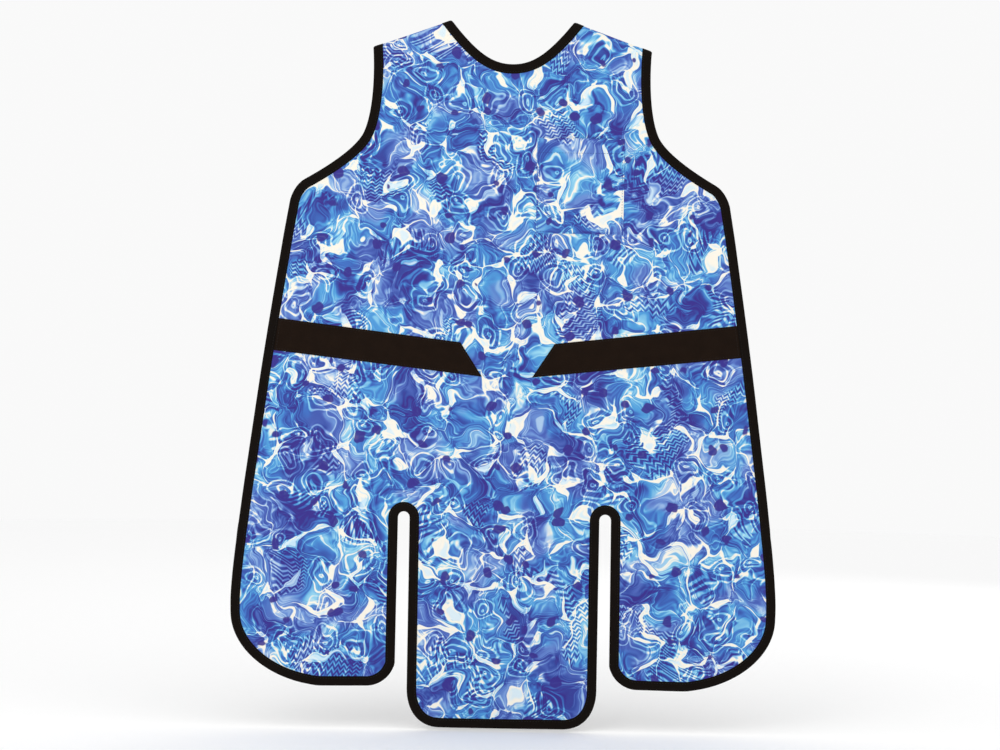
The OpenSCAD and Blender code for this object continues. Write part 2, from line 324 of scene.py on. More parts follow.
class Value:
    """A shader socket that adds a Math node for each operator it meets."""

    def __init__(self, shader, socket):
        self.shader = shader
        self.socket = socket

    def math(self, operation, *others):
        inputs = dict(enumerate([self, *others]))
        return self.shader.node("ShaderNodeMath", {"operation": operation}, inputs)

    def __add__(self, other):
        return self.math("ADD", other)

    __radd__ = __add__

    def __sub__(self, other):
        return self.math("SUBTRACT", other)

    def __rsub__(self, other):
        return self.shader.node("ShaderNodeMath", {"operation": "SUBTRACT"}, {0: other, 1: self})

    def __mul__(self, other):
        return self.math("MULTIPLY", other)

    __rmul__ = __mul__

    def rise(self, low, high):
        """0 below low, 1 above high and a smooth step between them."""
        settings = {"interpolation_type": "SMOOTHSTEP"}
        return self.shader.node(
            "ShaderNodeMapRange", settings, {"Value": self, "From Min": low, "From Max": high}
        )


class Shader:
    """A new material with a Principled shader, and the nodes that drive it."""

    def __init__(self, name, rough=0.7, specular=0.2, **constants):
        self.material = bpy.data.materials.new(f"{name}_finish")
        self.material.use_nodes = True
        self.tree = self.material.node_tree
        self.surface = self.tree.nodes["Principled BSDF"]
        self.surface.inputs["Roughness"].default_value = rough
        self.surface.inputs["Specular IOR Level"].default_value = specular
        for socket, value in constants.items():
            self.surface.inputs[socket.replace("_", " ")].default_value = value

    def node(self, kind, settings=None, inputs=None, out=0):
        """Any node: its settings first, then the values or links of its sockets."""
        made = self.tree.nodes.new(kind)
        for key, value in (settings or {}).items():
            if key == "stops":
                self.stops(made.color_ramp, value)
            else:
                setattr(made, key, value)
        for key, value in (inputs or {}).items():
            if isinstance(value, Value):
                self.tree.links.new(value.socket, made.inputs[key])
            else:
                made.inputs[key].default_value = value
        return Value(self, made.outputs[out])

    @staticmethod
    def stops(ramp, stops):
        while len(ramp.elements) < len(stops):
            ramp.elements.new(1.0)
        for element, (place, colour) in zip(ramp.elements, stops):
            element.position = place
            element.color = (*colour, 1)

    def place(self, scale):
        """Where on its own cloth a point was cut, scaled."""
        spot = self.node("ShaderNodeAttribute", {"attribute_name": PLACE}, out="Vector")
        return self.vector("SCALE", spot, {"Scale": scale})

    def vector(self, operation, a, others):
        """A Vector Math node with its further inputs by name or number."""
        return self.node("ShaderNodeVectorMath", {"operation": operation}, {0: a, **others})

    def axes(self, spot):
        """The along and across parts of a place."""
        return [self.node("ShaderNodeSeparateXYZ", None, {0: spot}, out=axis) for axis in (0, 1)]

    def noise(self, spot, scale, detail=0.0, out="Fac", **more):
        settings = {"noise_dimensions": "2D"}
        return self.node(
            "ShaderNodeTexNoise", settings, {"Vector": spot, "Scale": scale, "Detail": detail, **more}, out
        )

    def cells(self, spot, scale, feature="F1", randomness=1.0, out="Distance"):
        settings = {"voronoi_dimensions": "2D", "feature": feature}
        return self.node(
            "ShaderNodeTexVoronoi", settings, {"Vector": spot, "Scale": scale, "Randomness": randomness}, out
        )

    def mix(self, factor, a, b):
        a, b = (x if isinstance(x, Value) else (*x, 1) for x in (a, b))
        return self.node("ShaderNodeMix", {"data_type": "RGBA"}, {0: factor, 6: a, 7: b}, out=2)

    def ramp(self, factor, stops):
        return self.node("ShaderNodeValToRGB", {"stops": stops}, {0: factor})

    def finish(self, colour, rough=None, height=None, strength=0.5, depth=0.001):
        """Joins colour, roughness and height to the surface, and gives the material."""
        for value, socket in ((colour, "Base Color"), (rough, "Roughness")):
            if isinstance(value, Value):
                self.tree.links.new(value.socket, self.surface.inputs[socket])
            elif value is not None:
                self.surface.inputs[socket].default_value = (*value, 1)
        if height is not None:
            inputs = {"Height": height, "Strength": strength, "Distance": depth}
            bump = self.node("ShaderNodeBump", None, inputs)
            self.tree.links.new(bump.socket, self.surface.inputs["Normal"])
        return self.material


# ---- finishes ---------------------------------------------------------------


def waves(value, count):
    """Lines of equal height: count of them as the value goes from 0 to 1."""
    return (value * (2 * math.pi * count)).math("SINE")


def weave(shader, spot, along_pitch, across_pitch):
    """Height of a plain weave: yarns that pass over and under each other."""
    along, across = shader.axes(spot)
    return waves(along, 1 / along_pitch) * waves(across, 1 / across_pitch)


def stirred(shader, spot, scale, amount, detail=1.0):
    """A place pushed about by slow noise, as ink is by water."""
    drift = shader.noise(spot, scale, detail, "Color")
    centred = shader.vector("SUBTRACT", drift, {1: (0.5, 0.5, 0.5)})
    pushed = shader.vector("SCALE", centred, {"Scale": amount})
    return shader.vector("ADD", spot, {1: pushed})


def zigzags(shader, spot, tooth, gap):
    """Bundles of jagged lines."""
    along, across = shader.axes(spot)
    jag = (along * (1 / tooth)).math("PINGPONG", 0.5) * tooth
    return waves(across + jag, 1 / gap)


TONES = (0.0, 0.14, 0.32, 0.50, 0.72, 0.90)  # the levels of water that the inks stand for


def printed_cloth():
    """Smooth nylon with a marbled water print."""
    ink = chosen("apron_print")
    shader = Shader("printed_cover", rough=0.55, specular=0.25)
    spot = shader.place(IN_CM)
    bent = stirred(shader, spot, 0.22, 4.0)
    slow = stirred(shader, bent, 0.10, 8.0)
    flow = stirred(shader, slow, 0.42, 2.6)

    # soft shades of water, with streaks that follow the flow
    depth = shader.noise(flow, 0.18, 3.0)
    shallow = (depth - 0.5) * 1.35
    lines = shader.noise(flow, 0.15, 1.0)
    water = 0.38 + shallow + waves(lines, 9) * 0.085

    # eddies: oval rings round some centres
    pool = shader.cells(bent, 0.20, randomness=0.8)
    chance = shader.cells(bent, 0.20, out="Color", randomness=0.8)
    kind = shader.node("ShaderNodeSeparateColor", None, {0: chance})
    turning = kind.rise(0.40, 0.44) * (1 - pool.rise(0.40, 0.52))
    rings = waves(pool + (depth - 0.5) * 0.10, 5.5)
    water = water + (rings.rise(0.1, 1.0) * 0.42 - 0.12) * turning

    # a net of bright lines that widen into pools with an icy middle
    near = shader.cells(slow, 0.23)
    edge = shader.cells(slow, 0.23, "F2") - near
    swell = shader.noise(bent, 0.30, 1.0)
    edge = edge - swell.rise(0.48, 0.75) * 0.20 + (1 - swell.rise(0.30, 0.46)) * 0.07 - 0.014
    glint = 1 - edge.rise(-0.05, 0.06)
    shade = edge.rise(0.03, 0.08) * (1 - edge.rise(0.10, 0.22))
    agate = waves(edge, 7) * (1 - edge.rise(0.2, 0.6))
    water = water - shade * 0.12 - agate * 0.10
    ice = (1 - edge.rise(-0.15, -0.06)) * shader.noise(flow, 0.5, 1.0).rise(0.40, 0.55)

    # thin bright threads, and bundles of jagged lines that run with the flow
    threads = waves(lines, 5).rise(0.92, 1.0)
    fine = shader.cells(flow, 0.42, "F2") - shader.cells(flow, 0.42)
    veins = (1 - fine.rise(0.0, 0.09)) * swell.rise(0.40, 0.55)
    patch = shader.noise(slow, 0.15, 0.0).rise(0.63, 0.68)
    jagged = zigzags(shader, stirred(shader, spot, 0.07, 16.0, 0.0), 1.5, 0.92).rise(-0.6, 0.9)
    water = water + (jagged * 0.46 - 0.24) * patch * (1 - glint)
    level = water + glint * (0.58 + shallow * 0.9) + threads * 0.26 + veins * 0.20
    tones = [
        shader.ramp(level, list(zip(TONES, [ink.violet, ink.deep, cobalt, azure, cyan, ink.cream])))
        for cobalt, azure, cyan in (
            (ink.cobalt, ink.azure, ink.cyan),
            (ink.indigo, ink.iris, ink.mist),
        )
    ]
    colour = shader.mix(shader.noise(bent, 0.13, 1.0).rise(0.47, 0.62), *tones)
    colour = shader.mix(ice * glint * 0.8, colour, ink.ice)
    drops = shader.cells(stirred(shader, spot, 0.6, 0.9, 1.0), 0.16) + (swell - 0.5) * 0.25
    colour = shader.mix((1 - drops.rise(0.08, 0.115)) * 0.95, colour, ink.violet)
    return shader.finish(colour, None, weave(shader, spot, 0.05, 0.05), 0.15, 0.0002)


def woven_tape(name, colour, rough, specular, rib, depth):
    """Ribbed woven tape, with fine yarns across the ribs."""
    shader = Shader(name, rough=rough, specular=specular)
    spot = shader.place(IN_MM)
    along, across = shader.axes(spot)
    ribs = waves(along, 1 / rib)
    yarns = waves(across, 1 / (rib * 0.45))
    height = ribs * (yarns * 0.35 + 0.65)
    wear = shader.noise(spot, 0.05, 4.0)
    dark = tuple(channel * 0.55 for channel in colour)
    light = tuple(channel * 1.35 for channel in colour)
    # painted shade and painted highlight: half of the mix darkens the grooves between the ribs and lightens their
    # ridges; the other half is random wear
    shade = shader.mix(wear * 0.5 + height.rise(-1.0, 1.0) * 0.5, dark, light)
    return shader.finish(shade, None, height, 1.0, depth)


def tape_finish():
    return woven_tape("binding_tape", (0.0060, 0.0032, 0.0017), 0.72, 0.09, 0.9, 0.00018)


def loop_finish():
    return woven_tape("loop_strip", (0.0135, 0.0070, 0.0040), 0.85, 0.07, 1.6, 0.00022)


def webbing_finish():
    return woven_tape("belt_webbing", (0.011, 0.008, 0.007), 0.7, 0.15, 2.4, 0.0004)


def lining_finish():
    """Matte black nylon with a visible plain weave."""
    shader = Shader("inside_lining", rough=0.75, specular=0.2)
    spot = shader.place(IN_MM)
    cloud = shader.noise(spot, 0.015, 3.0)
    shade = shader.mix(cloud, (0.010, 0.010, 0.013), (0.016, 0.016, 0.020))
    return shader.finish(shade, None, weave(shader, spot, 1.1, 1.1), 0.4, 0.0002)


def shield_finish():
    """Loaded vinyl sheet, smooth and slightly mottled."""
    shader = Shader("shielding_sheet", rough=0.5, specular=0.4)
    mottle = shader.noise(shader.place(IN_MM), 0.08, 4.0)
    shade = shader.mix(mottle, (0.075, 0.08, 0.09), (0.12, 0.125, 0.135))
    return shader.finish(shade, None, mottle, 0.2, 0.0003)


def foam_finish():
    """Closed-cell foam with fine pores."""
    shader = Shader("strap_foam", rough=0.9, specular=0.2)
    pores = shader.cells(shader.place(IN_MM), 0.9)
    # painted shade: the colour follows the bump's height, so each pore is darker towards its deepest middle
    shade = shader.mix(pores, (0.16, 0.16, 0.17), (0.22, 0.22, 0.23))
    return shader.finish(shade, None, pores, 0.4, 0.0004)


def hook_finish():
    """Moulded nylon hooks in close rows."""
    shader = Shader("hook_patch", rough=0.5, specular=0.2)
    rows = weave(shader, shader.place(IN_MM), 1.3, 1.6)
    # painted shade and painted highlight: the colour follows the bump's height, darker between the rows of hooks and
    # lighter on top of them
    shade = shader.mix(rows.rise(-0.2, 0.8), (0.004, 0.004, 0.004), (0.020, 0.019, 0.018))
    return shader.finish(shade, None, rows, 0.9, 0.0006)


def thread_finish(name, colour):
    """Twisted sewing thread."""
    shader = Shader(name, rough=0.6, specular=0.3)
    twist = shader.noise(shader.node("ShaderNodeTexCoord", out="Object"), 2400.0, 1.0)
    shade = shader.mix(twist, tuple(channel * 0.6 for channel in colour), colour)
    return shader.finish(shade)


def black_thread():
    return thread_finish("black_thread", (0.012, 0.009, 0.008))


def blue_thread():
    return thread_finish("blue_thread", (0.03, 0.07, 0.30))


FINISHES = {
    "printed_cover": printed_cloth,
    "binding_tape": tape_finish,
    "loop_strip": loop_finish,
    "belt_webbing": webbing_finish,
    "inside_lining": lining_finish,
    "shielding_sheet": shield_finish,
    "strap_foam": foam_finish,
    "hook_patch": hook_finish,
    "black_thread": black_thread,
    "blue_thread": blue_thread,
}


def finish_of(name):
    """The material of that name, made the first time that it is asked for."""
    return bpy.data.materials.get(f"{name}_finish") or FINISHES[name]()


# ---- how the hanging layers lie -------------------------------------------------


def smooth(x, low, high):
    t = min(1.0, max(0.0, (x - low) / (high - low)))
    return t * t * (3 - 2 * t)


def half_width(z):
    """Roughly half of the panel's width at a height."""
    if z > WING.z:
        return SHOULDER_TIP.x + (WING.x - SHOULDER_TIP.x) * smooth(-z, -SHOULDER_TIP.z, -WING.z)
    return WING.x + (HEM.x - WING.x) * (WING.z - z) / (WING.z + LENGTH)


def drape(x, z):
    """How far back the hanging layers lie: slow folds and curled sides that grow towards the hem."""
    cloth = chosen("apron_cloth")
    fall = min(1.0, max(0.0, -z / LENGTH))
    folds = 0.6 * math.sin(17.0 * x + 2.5 * z + 0.6) + 0.4 * math.sin(9.0 * x - 4.0 * z + 2.0)
    rumple = cloth.rumple * noise.noise(Vector((x * 9.0, 0.0, z * 7.0)))
    half = half_width(z)
    curl = smooth(abs(x), half - 0.11, half)
    ease = smooth(-z, 0.0, 0.25)
    # the hips stay flat, so that the belts' seams turn about straight lines
    flat = smooth(math.hypot(abs(x) - HIP.x, z - HIP.z), 0.05, 0.14)
    return flat * (cloth.fold_depth * fall * folds + rumple * ease + cloth.curl * curl * fall)


# ---- flat layers --------------------------------------------------------------


def everything(bm):
    return bm.verts[:] + bm.edges[:] + bm.faces[:]


def cut(bm, spot, normal, clear=False, geom=None):
    """Cuts along a plane, and with clear removes what lies on the side that the normal points to."""
    if geom is None:
        geom = everything(bm)
    bmesh.ops.bisect_plane(bm, geom=geom, plane_co=spot, plane_no=normal, dist=1e-7, clear_outer=clear)


def flat_layer(nodes, inset=0.0):
    """One flat sheet with the front outline of some CAD nodes, joined over the gaps at the fold line."""
    bm = bmesh.new()
    for name in nodes:
        bm.from_mesh(frame["nodes"][name].data)
    bmesh.ops.remove_doubles(bm, verts=bm.verts, dist=WELD)
    bm.normal_update()
    facing = -0.9  # the front's own faces have a smaller Y in their normals
    others = [face for face in bm.faces if face.normal.y > facing]
    bmesh.ops.delete(bm, geom=others, context="FACES")
    for vert in bm.verts:
        vert.co.y = 0
        if abs(vert.co.z - FOLD_Z) < FOLD_GAP * 1.5:
            vert.co.z = FOLD_Z
    bmesh.ops.remove_doubles(bm, verts=bm.verts, dist=1.2 * MM)
    bmesh.ops.dissolve_limit(bm, angle_limit=0.01, verts=bm.verts, edges=bm.edges)
    if inset:
        rim = bmesh.ops.inset_region(
            bm, faces=bm.faces, thickness=inset, use_boundary=True, use_even_offset=True
        )
        bmesh.ops.delete(bm, geom=rim["faces"], context="FACES")
    return bm


def grid_cuts(bm, step):
    """Cuts a flat layer into squares, with close rows where the tails fold."""
    for axis, normal in ((0, Vector((1, 0, 0))), (2, UP)):
        low = min(v.co[axis] for v in bm.verts)
        high = max(v.co[axis] for v in bm.verts)
        for i in range(math.ceil(low / step), math.floor(high / step) + 1):
            cut(bm, normal * (i * step), normal)
    bmesh.ops.remove_doubles(bm, verts=bm.verts, dist=step * 0.04)
    if min(v.co.z for v in bm.verts) < FOLD_Z:
        fold_cuts(bm)


def fold_cuts(bm):
    """Close rows through the stretch that bends when a tail folds, the same in every layer."""
    rows = chosen("apron_cloth").fold_rows
    for i in range(rows + 1):
        cut(bm, UP * (FOLD_Z - FOLD_REACH + 2 * FOLD_REACH * i / rows), UP)


class Shoulder:
    """The fold over one shoulder: its neck tip, the ways along it and up across it, and the cloth's turn."""

    def __init__(self, name, side):
        self.tip = Vector((NECK_TIP.x * side, 0, NECK_TIP.z))
        self.along = (Vector((SHOULDER_TIP.x * side, 0, SHOULDER_TIP.z)) - self.tip).normalized()
        self.up = Vector((-self.along.z * side, 0, self.along.x * side))
        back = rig.box(f"{name}_strap_cover")[1].y
        self.depth = (back - CLOTH_FACE) / 2
        self.radius = (back + CLOTH_FACE) / 2
        self.foot = self.tip - self.up * self.radius

    def below(self, spot):
        """True for a place lower than the turn."""
        return (Vector((spot.x, 0, spot.z)) - self.foot).dot(self.up) < 0


SHOULDERS = {side: Shoulder(name, side) for name, side in SIDES.items()}


def trim_shoulders(bm, spare=0.0):
    """Cuts a layer back from the shoulder folds, so that the turns over the shoulders fit under them."""
    cut(bm, Vector((0, 0, 0)), Vector((1, 0, 0)))
    for side, fold in SHOULDERS.items():
        half = [face for face in bm.faces if face.calc_center_median().x * side > 0]
        geom = {part for face in half for part in [face, *face.edges, *face.verts]}
        cut(bm, fold.foot - fold.up * spare, fold.up, clear=True, geom=list(geom))


def settle(bm, level, cut_from=(0.0, 0.0), slope=0.0):
    """Lays a flat layer on the hanging cloth at a depth, and notes where it was cut from its cloth."""
    place = bm.verts.layers.float_vector.new(PLACE)
    level_out = Matrix.Rotation(slope, 3, "Y")
    for vert in bm.verts:
        spot = level_out @ vert.co
        vert[place] = (spot.x + cut_from[0], spot.z + cut_from[1], 0)
        vert.co.y = level + drape(vert.co.x, vert.co.z)


# ---- pieces ---------------------------------------------------------------------


def mesh_of(bm, name):
    """A mesh of what a bmesh holds. The bmesh is freed."""
    mesh = bpy.data.meshes.new(name)
    bm.to_mesh(mesh)
    bm.free()
    return mesh


def new_object(name, data):
    """An object in the scene, from its mesh, light or camera."""
    made = bpy.data.objects.new(name, data)
    bpy.context.scene.collection.objects.link(made)
    return made


def depth_of(node, fill):
    """Where the front of a piece lies that fills a share of a CAD node's depth, and its thickness."""
    low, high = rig.box(node)
    thickness = (high.y - low.y) * fill
    return (low.y + high.y - thickness) / 2, thickness


def new_piece(bm, name, finish, stands_for=(), thickness=0.0, bevel=0.0):
    """A finished object from a mesh. With a thickness, a sheet gets a back and is closed all round."""
    if thickness:
        bmesh.ops.solidify(bm, geom=bm.faces[:], thickness=thickness)
    bm.normal_update()
    for face in bm.faces:
        face.smooth = True
    for edge in bm.edges:
        edge.smooth = len(edge.link_faces) < 2 or edge.calc_face_angle() < SHARP
    piece = new_object(name, mesh_of(bm, name))
    piece.data.materials.append(finish_of(finish))
    if bevel:
        edge = piece.modifiers.new("Edge", "BEVEL")
        edge.width = bevel
        edge.segments = 2
    if finish in [material["slot"] for material in frame["record"]["materials"]]:
        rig.slot(piece, finish)
    if stands_for:
        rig.replaces(piece, *stands_for)
    return piece


def hang(piece, body):
    """Lets a piece follow the torso, or bend from the torso into a tail."""
    if body in TAILS:
        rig.blend(piece, "panel", body, (0, 0, FOLD_Z + FOLD_REACH), (0, 0, FOLD_Z - FOLD_REACH))
    else:
        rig.ride(piece, body)
    return piece


def body_at(spot):
    """The body that a place on the panel belongs to."""
    if spot.z > SLOT_TOP:
        return "panel"
    if abs(spot.x) < SLOT_X:
        return "centre_tail"
    return "left_tail" if spot.x > 0 else "right_tail"


def by_body(bm):
    """The parts of a layer that hang on the torso and on each tail, cut along the tops of the slots."""
    cut(bm, UP * SLOT_TOP, UP)
    parts = {}
    for body in ("panel", *TAILS):
        part = bm.copy()
        others = [face for face in part.faces if body_at(face.calc_center_median()) != body]
        bmesh.ops.delete(part, geom=others, context="FACES")
        if part.faces:
            parts[body] = part
        else:
            part.free()
    bm.free()
    return parts


def slope_of(spots):
    """The slope of an outline's longest edge."""
    way = max((b - a for a, b in zip(spots, spots[1:] + spots[:1])), key=lambda edge: edge.length)
    return math.atan2(way.z, way.x)


def flat_size(bm, slope=0.0):
    """Width, length and area of a layer while it is flat. A strip with a slope is measured along it."""
    spots = [Matrix.Rotation(slope, 3, "Y") @ v.co for v in bm.verts]
    flat = [max(s[axis] for s in spots) - min(s[axis] for s in spots) for axis in (0, 2)]
    if slope:
        flat.sort()
    return tuple(flat), min(sum(face.calc_area() for face in bm.faces), flat[0] * flat[1])


# ---- binding tape ----------------------------------------------------------------


def outline(bm):
    """The corners of a flat layer's edge, in order, with the cloth on the right of the way they run."""
    ahead = {}
    for edge in bm.edges:
        if edge.is_boundary:
            for a, b in (edge.verts, reversed(edge.verts)):
                ahead.setdefault(a, []).append(b)
    start = next(iter(ahead))
    walk = [start, ahead[start][0]]
    while True:
        a, b = ahead[walk[-1]]
        step = b if a is walk[-2] else a
        if step is start:
            break
        walk.append(step)
    spots = [Vector((v.co.x, 0, v.co.z)) for v in walk]
    turned = sum(a.x * b.z - b.x * a.z for a, b in zip(spots, spots[1:] + spots[:1]))
    return spots if turned < 0 else spots[::-1]


def outline_of(nodes):
    """The outline of the flat sheet that some CAD nodes make."""
    bm = flat_layer(nodes)
    spots = outline(bm)
    bm.free()
    return spots


def run_between(spots, start, end):
    """The stretch of a closed outline from the corner nearest one point to the corner nearest another."""
    first, last = (min(range(len(spots)), key=lambda i: (spots[i] - p).length) for p in (start, end))
    count = (last - first) % len(spots) + 1
    return [spots[(first + i) % len(spots)] for i in range(count)]


def rounded(spots, step):
    """Evenly spaced points and directions along a smooth line through some corners."""
    ways = []
    for i, here in enumerate(spots):
        before = here - spots[max(i - 1, 0)]
        after = spots[min(i + 1, len(spots) - 1)] - here
        # the longer side leads, so that a straight stretch stays straight
        ways.append((before * before.length + after * after.length).normalized())
    line = []
    for a, b, way_a, way_b in zip(spots, spots[1:], ways, ways[1:]):
        third = (b - a).length / 3
        count = max(1, round(3 * third / step))
        line += geometry.interpolate_bezier(a, a + way_a * third, b - way_b * third, b, count + 1)[:-1]
    line.append(spots[-1])
    return [Vector(p) for p in line]


def extended(line, length):
    """A line that runs on straight past both its ends."""
    first = (line[0] - line[1]).normalized()
    last = (line[-1] - line[-2]).normalized()
    return [line[0] + first * length, *line, line[-1] + last * length]


def right_of(way):
    """The way turned a quarter to the right, which points into the cloth from its outline."""
    return Vector((way.z, 0, -way.x))


def inward_ways(line):
    """At each point of a line, the way that points into the cloth."""
    ways = []
    for i in range(len(line)):
        way = (line[min(i + 1, len(line) - 1)] - line[max(i - 1, 0)]).normalized()
        ways.append(right_of(way))
    return ways


def tape_section(half):
    """The folded tape's outside, from its front edge round to its back edge, as insets and depths."""
    width = chosen("apron_tape").width
    front = [
        (width, -half + 0.55 * MM),
        (width - 0.2 * MM, -half + 0.10 * MM),
        (width - 1.2 * MM, -half - 0.10 * MM),
        (width - 2.2 * MM, -half - 0.02 * MM),
        (width - 3.0 * MM, -half + 0.14 * MM),
        (width - 3.8 * MM, -half - 0.04 * MM),
        (width * 0.42, -half - 0.15 * MM),
        (3.2 * MM, -half - 0.10 * MM),
        (1.6 * MM, -half + 0.18 * MM),
        (0.6 * MM, -half + 0.85 * MM),
        (0.12 * MM, -half * 0.4),
    ]
    return [*front, (0, 0), *[(inset, -depth) for inset, depth in reversed(front)]]


STITCH_ROW = 4  # the row of the tape's section that its stitching lies in


def strip(columns, rows, spot):
    """A strip of quads whose corners lie where spot(column, row) says: a point, and a place on the cloth."""
    bm = bmesh.new()
    bmesh.ops.create_grid(bm, x_segments=columns, y_segments=rows, size=1)
    place = bm.verts.layers.float_vector.new(PLACE)
    for vert in bm.verts:
        column = round((vert.co.x + 1) / 2 * columns)
        row = round((vert.co.y + 1) / 2 * rows)
        vert.co, vert[place] = spot(column, row)
    return bm


def tape_strip(line, half, middle):
    """Binding tape folded round the edge that a line follows."""
    seam = chosen("apron_tape").seam
    section = tape_section(half)
    ways = inward_ways(line)
    lengths = [0.0]
    for a, b in zip(line, line[1:]):
        lengths.append(lengths[-1] + (b - a).length)
    across = [0.0]
    for (d0, y0), (d1, y1) in zip(section, section[1:]):
        across.append(across[-1] + math.hypot(d1 - d0, y1 - y0))

    def spot(column, row):
        inset, depth = section[row]
        point = line[column] + ways[column] * (inset - seam)
        point.y = middle + depth + drape(point.x, point.z)
        return point, (lengths[column], across[row], 0)

    return strip(len(line) - 1, len(section) - 1, spot)


def stitch_shape():
    """One stitch: a small rounded bead of thread, one unit long each way."""
    bm = bmesh.new()
    bmesh.ops.create_icosphere(bm, subdivisions=1, radius=1)
    return mesh_of(bm, "stitch_shape")


def stitches(rows, home):
    """Whole stitches along some lines, as a mesh for each body that home(spot) names. None leaves one out."""
    tape = chosen("apron_tape")
    size = Vector((tape.stitch_length / 2, tape.stitch_radius, tape.stitch_radius))
    shape = stitch_shape()
    sewn = {}
    for line in rows:
        spare = tape.stitch_pitch / 2
        for a, b in zip(line, line[1:]):
            way = b - a
            while spare < way.length:
                spot = a + way * (spare / way.length)
                body = home(spot)
                if body:
                    matrix = Matrix.LocRotScale(spot, way.to_track_quat("X", "Z"), size)
                    shape.transform(matrix)
                    sewn.setdefault(body, bmesh.new()).from_mesh(shape)
                    shape.transform(matrix.inverted())
                spare += tape.stitch_pitch
            spare -= way.length
    bpy.data.meshes.remove(shape)
    return sewn


def sew(name, finish, rows, home=body_at):
    """Stitching along some lines, as a piece on each body that it is on."""
    for body, thread in stitches(rows, home).items():
        hang(new_piece(thread, name, finish), body)


def line_inside(spots, inset, depth):
    """A closed line a little inside an outline, at a depth on the hanging cloth."""
    ring = spots + spots[:2]
    corners = []
    for a, b, c in zip(ring, ring[1:], ring[2:]):
        way_a, way_b = (b - a).normalized(), (c - b).normalized()
        into = right_of(way_a) + right_of(way_b)
        corners.append(b + into * (inset / max(0.3, into.length_squared / 2)))
    line = []
    for a, b in zip(corners, corners[1:] + corners[:1]):
        count = max(1, round((b - a).length / 0.01))
        for i in range(count):
            spot = a.lerp(b, i / count)
            spot.y = depth + drape(spot.x, spot.z)
            line.append(spot)
    return line + line[:1]


def tape_stitch_rows(line, half, middle):
    """The two rows of stitching that hold a folded tape, front and back."""
    seam = chosen("apron_tape").seam
    inset, depth = tape_section(half)[STITCH_ROW]
    ways = inward_ways(line)
    rows = []
    for sign in (1, -1):
        row = []
        for point, way in zip(line, ways):
            spot = point + way * (inset - seam)
            spot.y = middle + sign * (depth - 0.05 * MM) + drape(spot.x, spot.z)
            row.append(spot)
        rows.append(row)
    return rows


def panel_lines():
    """The neckline's run and the long run of the panel's edge."""
    spots = outline_of(["front_cover", *[f"{tail}_cover" for tail in TAILS]])
    right_neck, right_shoulder = (Vector((-p.x, 0, p.z)) for p in (NECK_TIP, SHOULDER_TIP))
    step = chosen("apron_tape").step
    neck = run_between(spots, right_neck, NECK_TIP)
    body = run_between(spots, SHOULDER_TIP, right_shoulder)
    return [extended(rounded(run, step), OVERRUN) for run in (neck, body)]


# ---- operators ---------------------------------------------------------------------


LAYERS = (
    ("printed_front", "front_cover", "cover", "printed_cover"),
    ("outer_shield", "core_outer", "core_outer", "shielding_sheet"),
    ("inner_shield", "core_inner", "core_inner", "shielding_sheet"),
    ("lining_back", "back_lining", "lining", "inside_lining"),
)


class ApronLayers(bpy.types.Operator):
    """Makes the printed cloth, the two shielding sheets and the lining, each with its three tails"""

    bl_idname = "apron.layers"
    bl_label = "Cloth and Shielding"

    def execute(self, context):
        cloth = chosen("apron_cloth")
        for name, torso_node, tail_node, finish in LAYERS:
            level, thickness = depth_of(torso_node, LAYER_FILL)
            hidden = finish == "shielding_sheet"
            tails = [f"{tail}_{tail_node}" for tail in TAILS]
            bm = flat_layer([torso_node, *tails], 0.0 if hidden else UNDER_TAPE)
            trim_shoulders(bm, SHIELD_SPARE if hidden else 0.0)
            grid_cuts(bm, cloth.grid)
            for body, part in by_body(bm).items():
                flat, area = flat_size(part)
                settle(part, level)
                node = torso_node if body == "panel" else f"{body}_{tail_node}"
                title = name if body == "panel" else f"{body}_{name}"
                piece = new_piece(part, title, finish, [node], thickness)
                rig.sheet(hang(piece, body), flat=flat, held="hung", area=area)
        return {"FINISHED"}


class ApronBinding(bpy.types.Operator):
    """Folds the binding tape over the panel's edges and sews it down"""

    bl_idname = "apron.binding"
    bl_label = "Binding Tape"

    def execute(self, context):
        neck, body_line = panel_lines()
        edge_nodes = [f"{side}_{run}_binding" for side in SIDES for run in ("armhole", "side", "slot")]
        runs = ("neck_tape", neck, ["neck_binding"]), ("edge_tape", body_line, edge_nodes)
        for title, line, nodes in runs:
            tape = tape_strip(line, TAPE_FACE, 0.0)
            trim_shoulders(tape)
            fold_cuts(tape)
            thread = stitches(tape_stitch_rows(line, TAPE_FACE, 0.0), self.home)
            for body, part in by_body(tape).items():
                stands_for = nodes if body == "panel" else [f"{body}_binding"]
                name = title if body == "panel" else f"{body}_tape"
                hang(new_piece(part, name, "binding_tape", stands_for, TAPE_CLOTH), body)
            for body, part in thread.items():
                name = title if body == "panel" else f"{body}_tape"
                hang(new_piece(part, f"{name}_stitches", "black_thread"), body)
        return {"FINISHED"}

    @staticmethod
    def home(spot):
        """The body that a stitch is on, or None in the turn over a shoulder."""
        return body_at(spot) if SHOULDERS[1 if spot.x > 0 else -1].below(spot) else None


